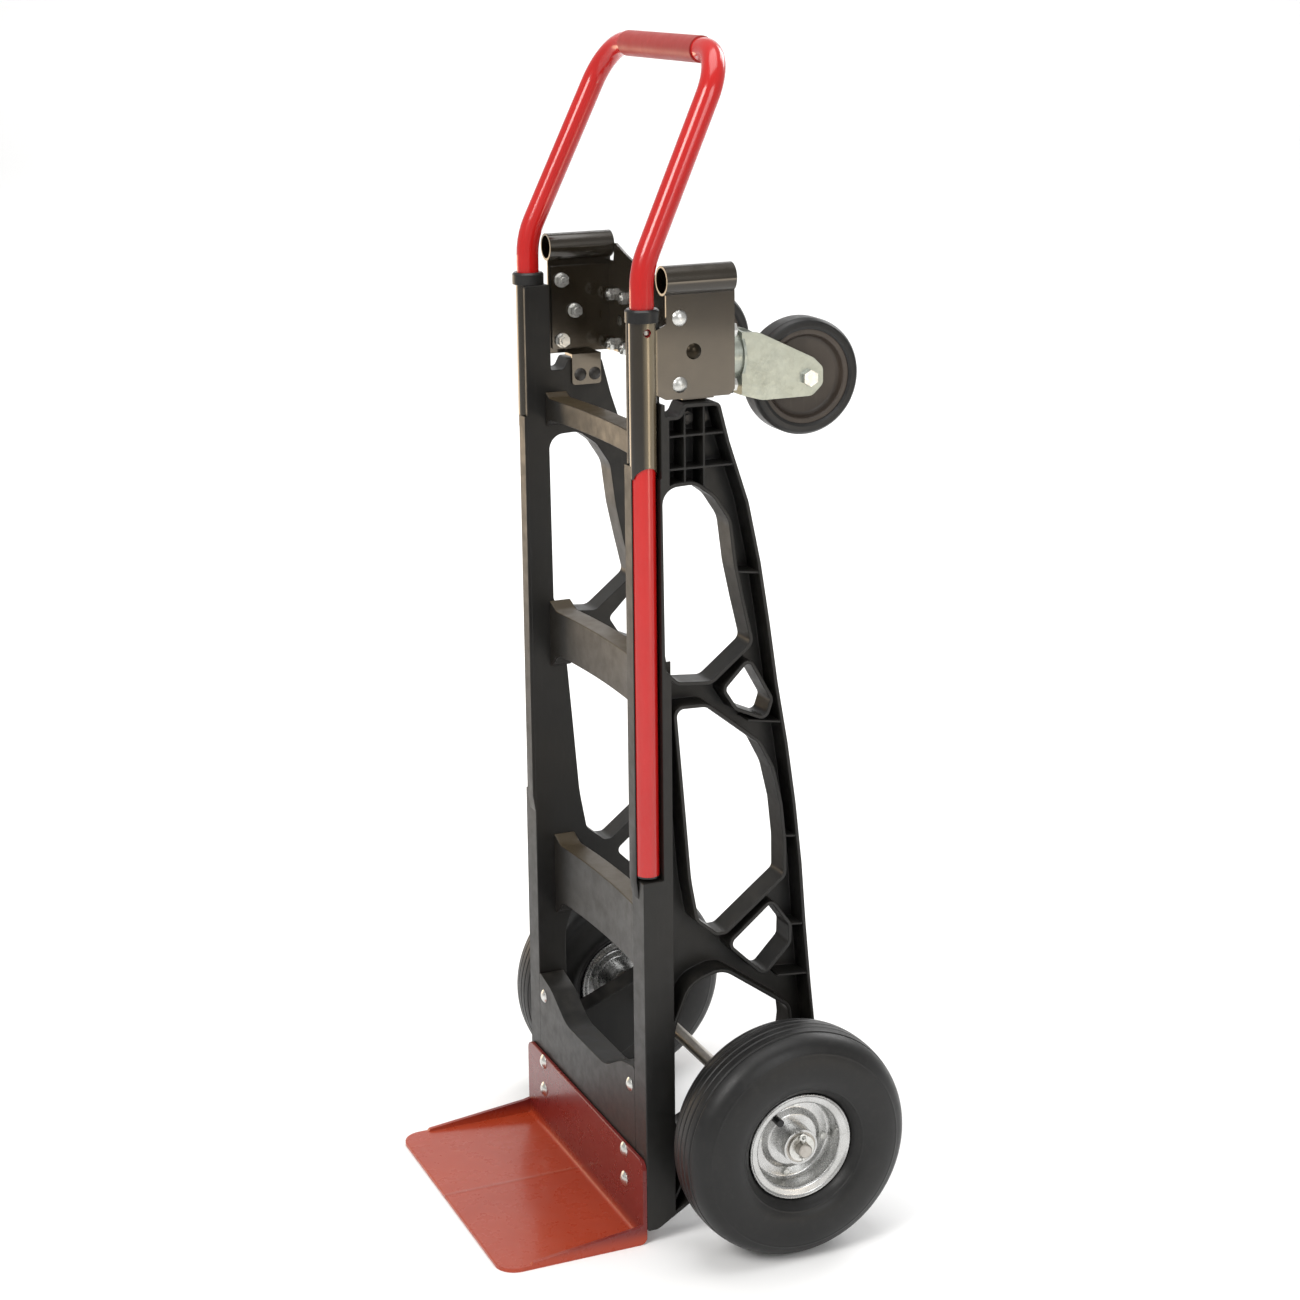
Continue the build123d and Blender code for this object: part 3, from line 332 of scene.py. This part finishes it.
# ------------------------------------------------------------------ mesh helpers
def obj_from(name, verts, faces, mat, smooth=True):
    me = bpy.data.meshes.new(name)
    me.from_pydata(verts, [], faces)
    me.validate()
    me.update()
    if smooth:
        me.shade_smooth()
    ob = bpy.data.objects.new(name, me)
    SC.collection.objects.link(ob)
    ob.data.materials.append(mat)
    return ob


def lathe_x(name, prof, centre, segs, mat, warp=None, flipx=1):
    """Closed profile of (x, r) in metres, spun about X through centre."""
    n = len(prof)
    verts, faces = [], []
    for k in range(segs):
        a = 2 * math.pi * k / segs
        ca, sa = math.cos(a), math.sin(a)
        for (x, r) in prof:
            if warp:
                x, r = warp(x, r, a)
            verts.append((centre[0] + flipx * x, centre[1] + r * ca, centre[2] + r * sa))
    for k in range(segs):
        k2 = (k + 1) % segs
        for i in range(n):
            j = (i + 1) % n
            f = (k * n + i, k2 * n + i, k2 * n + j, k * n + j)
            faces.append(f if flipx > 0 else f[::-1])
    ob = obj_from(name, verts, faces, mat)
    bm = bmesh.new()
    bm.from_mesh(ob.data)
    bmesh.ops.recalc_face_normals(bm, faces=bm.faces)
    bm.to_mesh(ob.data)
    bm.free()
    return ob


def catmull(pts, per=8):
    """Smooth open line through points."""
    out = []
    P = [pts[0]] + list(pts) + [pts[-1]]
    for i in range(1, len(P) - 2):
        for s in range(per):
            t = s / per
            q = []
            for c in range(len(P[0])):
                a, b, cc, d = P[i - 1][c], P[i][c], P[i + 1][c], P[i + 2][c]
                q.append(0.5 * (2 * b + (cc - a) * t + (2 * a - 5 * b + 4 * cc - d) * t * t + (3 * b - a - 3 * cc + d) * t ** 3))
            out.append(tuple(q))
    out.append(tuple(pts[-1]))
    return out


def smooth_by_angle(ob, deg=32):
    me = ob.data
    me.shade_smooth()
    bm = bmesh.new()
    bm.from_mesh(me)
    lim = math.radians(deg)
    for e in bm.edges:
        e.smooth = not (len(e.link_faces) == 2 and e.calc_face_angle(0) > lim)
    bm.to_mesh(me)
    bm.free()


# ------------------------------------------------------------------ pneumatic tyres
def tyre_profile():
    out = [(26.9, 62.6), (31.0, 65.0), (35.5, 69.0), (38.9, 74.0), (41.6, 80.0), (42.8, 86.5), (43.0, 93.0), (42.3, 100.5), (40.6, 108.0),
           (37.6, 115.2), (33.5, 121.5), (27.5, 126.4), (20.0, 129.6), (10.0, 131.5), (0.0, 132.0)]
    o = catmull(out, 13)
    o = o + [(-x, r) for x, r in reversed(o[:-1])]
    inner = [(-26.9, 62.6), (-23.4, 60.4), (-21.8, 53.6), (-20.2, 51.9), (-16.6, 51.7), (-17.2, 58.0), (-27.0, 70.5), (-35.0, 82.0), (-36.6, 94.0),
             (-34.0, 107.0), (-26.5, 117.5), (-14.0, 123.4), (0, 124.6), (14.0, 123.4), (26.5, 117.5), (34.0, 107.0), (36.6, 94.0), (35.0, 82.0),
             (27.0, 70.5), (17.2, 58.0), (16.6, 51.7), (20.2, 51.9), (21.8, 53.6), (23.4, 60.4)]
    return [(x / 1000, r / 1000) for x, r in o + inner[1:]]


def groove(d, half, depth, soft=0.0005):
    t = (half - abs(d)) / soft
    return -depth * max(0.0, min(1.0, t))


def tyre_warp(x, r, a):
    ax = abs(x)
    if r < 0.0628 and ax < 0.0266:
        return x, r
    n = Vector((x * 1.0, (r - 0.0915) * 1.0))
    if n.length < 1e-9:
        return x, r
    n.normalize()
    off = 0.0
    if r > 0.118 and ax < 0.0372 and (r - 0.0915) > 0.9 * math.sqrt(max(0, 0.0375 ** 2 - (x * 0.87) ** 2)) * 0.9:
        # running surface: shallow ribs parted by soft grooves
        for g in (0.0, 0.0095, 0.0190):
            off = min(off, groove(ax - g, 0.0012, 0.0011, 0.0009))
    elif ax > 0.03 and 0.066 < r < 0.118:
        # two low moulded rings on the sidewall
        for rr, w, h in ((0.0715, 0.0016, 0.0004), (0.1125, 0.0018, 0.00035)):
            t = 1 - abs(r - rr) / w
            if t > 0:
                off = max(off, h * (3 * t * t - 2 * t ** 3))
    return x + n.x * off, r + n.y * off


for side, k in (("right", 1), ("left", -1)):
    t = lathe_x(side + "_tyre_moulded", tyre_profile(), (k * 0.243, YA, 0.132), 384, M["tyre_rubber"], tyre_warp, k)
    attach(t, side + "_wheel")
    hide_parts(side + "_tyre")

def round_poly(pts, radii, seg=6):
    """Closed profile with tangent arcs at its corners."""
    out, n = [], len(pts)
    for i in range(n):
        p, r = Vector(pts[i]), radii[i]
        a, b = Vector(pts[i - 1]) - p, Vector(pts[(i + 1) % n]) - p
        if r <= 0:
            out.append(tuple(p))
            continue
        la, lb = a.length, b.length
        a.normalize()
        b.normalize()
        half = math.acos(max(-1, min(1, a.dot(b)))) / 2
        if abs(math.cos(half)) < 1e-4:
            out.append(tuple(p))
            continue
        d = min(r / math.tan(half), 0.49 * min(la, lb))
        r = d * math.tan(half)
        c = p + (a + b).normalized() * (r / math.sin(half))
        v0, v1 = p + a * d - c, p + b * d - c
        ang = v0.angle_signed(v1)
        for k in range(seg + 1):
            t = -ang * k / seg
            out.append((c.x + v0.x * math.cos(t) - v0.y * math.sin(t), c.y + v0.x * math.sin(t) + v0.y * math.cos(t)))
    return out


# pressed rim halves, spun at full smoothness
HALF = [(6.1, 20.05), (6.1, 28.6), (0.05, 34.4), (0.05, 47.2), (3.6, 50.4), (22.9, 51.3), (24.5, 59.0), (27.4, 61.4),
        (28.8, 59.9), (26.3, 57.6), (24.7, 49.3), (4.8, 48.4), (2.05, 45.9), (2.05, 35.3), (8.1, 29.4), (8.1, 20.05)]
HR = [0, 4, 4, 3, 3, 2.5, 2, 0.6, 0.6, 3, 4, 3, 3, 3, 3, 0]
RIM = [(x / 1000, r / 1000) for x, r in round_poly(HALF, HR, 6)]
for side, k in (("right", 1), ("left", -1)):
    for part, f in (("rim_outer_half", 1), ("rim_inner_half", -1)):
        o = lathe_x(side + "_" + part + "_pressed", RIM, (k * 0.243, YA, 0.132), 160, M["rim_silver"], None, k * f)
        smooth_by_angle(o, 40)
        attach(o, side + "_wheel")
        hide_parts(side + "_" + part)

# caster wheels: rounded tread with a fine mould line, and a webbed core
TREAD = [(-14.5, 51.0), (-16.0, 54.0), (-15.6, 60.0), (-11.0, 63.5), (11.0, 63.5), (15.6, 60.0), (16.0, 54.0), (14.5, 51.0)]
TREAD = [(x / 1000, r / 1000) for x, r in round_poly(TREAD, [0, 2, 3, 6, 6, 3, 2, 0], 7)]
CORE = [(-17.4, 7.08), (-17.4, 15), (-5, 18), (-5, 43), (-13.5, 45.5), (-13.5, 51.0), (13.5, 51.0), (13.5, 45.5), (5, 43), (5, 18), (17.4, 15),
        (17.4, 7.08)]
CORE = [(x / 1000, r / 1000) for x, r in round_poly(CORE, [0, 1.5, 4, 5, 2, 0, 0, 2, 5, 4, 1.5, 0], 6)]
for side, k in (("right", 1), ("left", -1)):
    c = (k * 0.134, YA + 0.065, 0.961)
    o = lathe_x(side + "_caster_tread_moulded", TREAD, c, 144, M["caster_rubber"], None, 1)
    smooth_by_angle(o, 40)
    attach(o, side + "_caster_wheel")
    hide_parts(side + "_caster_tread")
    o = lathe_x(side + "_caster_core_moulded", CORE, c, 144, M["caster_core"], None, 1)
    smooth_by_angle(o, 40)
    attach(o, side + "_caster_wheel")
    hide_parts(side + "_caster_wheel_core")


def front_lip(side, k):
    """Thin front wall of the leg channel, from the column's foot to the sleeve; it stands half a millimetre clear of the tube."""
    full = [(146.3, -142.2), (146.3, -146.0), (146.9, -146.6), (164.5, -146.6), (165.0, -146.1), (165.0, -145.5), (148.35, -145.5), (148.35, -142.2)]
    foot = [(146.3, -142.2), (146.3, -143.0), (146.9, -143.2), (164.5, -143.2), (165.0, -143.1), (165.0, -142.9), (148.35, -142.8), (148.35, -142.2)]
    rows = [(404.0, foot), (426.5, full), (520.0, full), (640.0, full), (760.0, full), (885.2, full)]
    n = len(full)
    verts = [(k * x / 1000, YA + y / 1000, z / 1000) for z, sec in rows for x, y in sec]
    faces = []
    for r in range(len(rows) - 1):
        for i in range(n):
            j = (i + 1) % n
            faces.append((r * n + i, r * n + j, (r + 1) * n + j, (r + 1) * n + i))
    faces.append(tuple(range(n)))
    faces.append(tuple((len(rows) - 1) * n + i for i in range(n)))
    o = obj_from(side + "_leg_channel_lip", verts, faces, M["frame_nylon"])
    bm = bmesh.new()
    bm.from_mesh(o.data)
    bmesh.ops.recalc_face_normals(bm, faces=bm.faces)
    bm.to_mesh(o.data)
    bm.free()
    smooth_by_angle(o, 32)
    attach(o, "frame")


front_lip("right", 1)
front_lip("left", -1)


def soften(node, width, segs=2, angle=38):
    """Real rounded edges on a CAD node: joins its faces, then bevels the sharp edges."""
    ob = N[node]
    w = ob.modifiers.new("join", "WELD")
    w.merge_threshold = 0.000004
    d = ob.modifiers.new("flats", "DECIMATE")
    d.decimate_type = "DISSOLVE"
    d.angle_limit = math.radians(0.6)
    b = ob.modifiers.new("edges", "BEVEL")
    b.limit_method = "ANGLE"
    b.angle_limit = math.radians(angle)
    b.width = width
    b.segments = segs
    b.use_clamp_overlap = False
    b.harden_normals = False
    b.miter_outer = "MITER_ARC"
    n = ob.modifiers.new("normals", "WEIGHTED_NORMAL")
    n.weight = 60
    n.keep_sharp = True


for nm, wd in (("right_side_frame", 0.0009), ("left_side_frame", 0.0009), ("upper_crossmember", 0.0010), ("middle_crossmember", 0.0012),
               ("lower_crossmember", 0.0012)):
    soften(nm, wd)

# ------------------------------------------------------------------ floor, light, camera
def stage_plane():
    # gently curved sweep: floor that rises far behind
    vs, fs = [], []
    xs = [-9 + 18 * i / 24 for i in range(25)]
    prof = [(-9, 0), (-4, 0), (0, 0), (3, 0), (5.0, 0), (6.2, 0.12), (7.2, 0.55), (7.9, 1.3), (8.3, 2.4), (8.4, 4.0), (8.4, 7.0)]
    d = Vector((-math.sin(math.radians(67.9)), math.cos(math.radians(67.9)), 0))
    s = Vector((d.y, -d.x, 0))
    for (t, z) in prof:
        for x in xs:
            q = d * t + s * x
            vs.append((q.x, q.y, z))
    w = len(xs)
    for i in range(len(prof) - 1):
        for j in range(w - 1):
            fs.append((i * w + j, i * w + j + 1, (i + 1) * w + j + 1, (i + 1) * w + j))
    m, nt, p, tc = new_mat("studio_floor")
    f = noise(nt, tc, 2.0, 2, 0.5)
    col = mixc(nt, remap(nt, f, 0.3, 0.7, 0, 1), (0.93, 0.93, 0.93), (0.90, 0.90, 0.90))
    nt.links.new(col, p.inputs["Base Color"])
    p.inputs["Roughness"].default_value = 0.85
    p.inputs["Specular IOR Level"].default_value = 0.2
    ob = obj_from("studio_floor", vs, fs, m)
    return ob


stage_plane()


def area(name, loc, target, size, power, col=(1, 1, 1), size_y=None):
    l = bpy.data.lights.new(name, "AREA")
    l.shape = "RECTANGLE"
    l.size = size
    l.size_y = size_y or size
    l.energy = power
    l.color = col
    o = bpy.data.objects.new(name, l)
    SC.collection.objects.link(o)
    o.location = loc
    dv = Vector(target) - Vector(loc)
    o.rotation_euler = dv.to_track_quat("-Z", "Y").to_euler()
    return o


w = bpy.data.worlds.new("studio")
SC.world = w
w.use_nodes = True
bg = w.node_tree.nodes["Background"]
bg.inputs["Color"].default_value = (1.0, 0.995, 0.985, 1)
bg.inputs["Strength"].default_value = 0.52

area("key", (1.6, -3.2, 3.4), (0, 0, 0.6), 1.6, 105, (1.0, 0.985, 0.96))
area("fill_right", (3.9, 0.6, 2.4), (0, 0, 0.6), 1.6, 38, (0.98, 0.99, 1.0))
area("rear", (-1.5, 3.4, 3.0), (0, 0, 0.6), 2.0, 70)
area("top", (0.2, 0.0, 4.2), (0, 0, 0.6), 2.6, 75)
area("backdrop", (-3.5, 2.0, 4.5), (-6.5, 3.0, 0.5), 3.0, 160)
area("warm_left", (-2.3, -1.0, 0.45), (0, 0, 0.75), 1.2, 9, (1.0, 0.72, 0.42), 0.7)
area("warm_right", (2.6, 1.25, 0.35), (0.1, 0, 0.95), 0.9, 5, (1.0, 0.86, 0.68), 0.5)

# viewpoint
AZ, EL, ROLL = math.radians(67.869), math.radians(13.548), math.radians(-0.8998)
back = Vector((math.sin(AZ) * math.cos(EL), -math.cos(AZ) * math.cos(EL), math.sin(EL)))
right = Vector((math.cos(AZ), math.sin(AZ), 0))
up = back.cross(right)
r2 = right * math.cos(ROLL) + up * math.sin(ROLL)
u2 = -right * math.sin(ROLL) + up * math.cos(ROLL)
cam = bpy.data.cameras.new("camera")
cam.sensor_width = 36.0
cam.sensor_fit = "HORIZONTAL"
cam.lens = 70.441
cam.shift_x = 0.04313
cam.shift_y = -0.08335
cam.clip_start = 0.05
cam.clip_end = 60
co = bpy.data.objects.new("camera", cam)
SC.collection.objects.link(co)
co.matrix_world = Matrix(((r2.x, u2.x, back.x, 2.5501), (r2.y, u2.y, back.y, -1.15968 + YA), (r2.z, u2.z, back.z, 1.43028), (0, 0, 0, 1)))
SC.camera = co
SC.view_settings.view_transform = "Standard"
SC.view_settings.look = "None"
